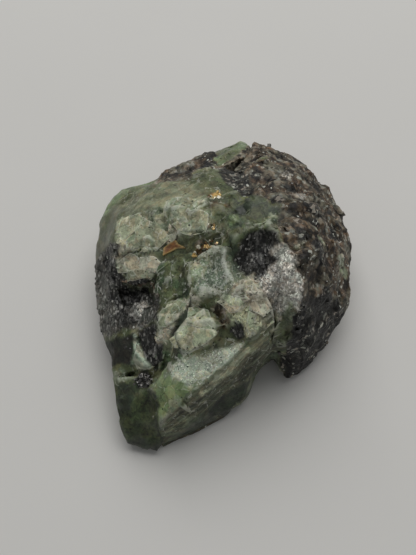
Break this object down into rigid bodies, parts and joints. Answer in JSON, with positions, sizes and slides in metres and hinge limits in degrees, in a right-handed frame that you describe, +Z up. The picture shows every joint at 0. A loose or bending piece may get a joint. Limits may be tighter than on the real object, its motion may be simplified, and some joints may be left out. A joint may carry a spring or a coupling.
{
  "type": "mineral specimen",
  "caption": "Hand-sized rough stone of green tsavorite garnet plates and a sugary ledge grown together with dark graphite and brown gneiss, resting on a flat underside",
  "frame": {"origin": "the middle of the footprint, on the flat underside that the stone rests on", "axes": "+Z up; +Y runs along the length, from the dark toe at -Y to the clear green point at +Y; +X towards the gneiss side"},
  "size_m": [0.0532, 0.065, 0.0294],
  "materials": {
    "rough_stone": "broken and uneven, cloudy green garnet with frosted patches beside dull brown-grey gneiss and glittering graphite"
  },
  "bodies": {
    "root": {"tsavorite_crystal": "rough_stone"}
  },
  "joints": []
}
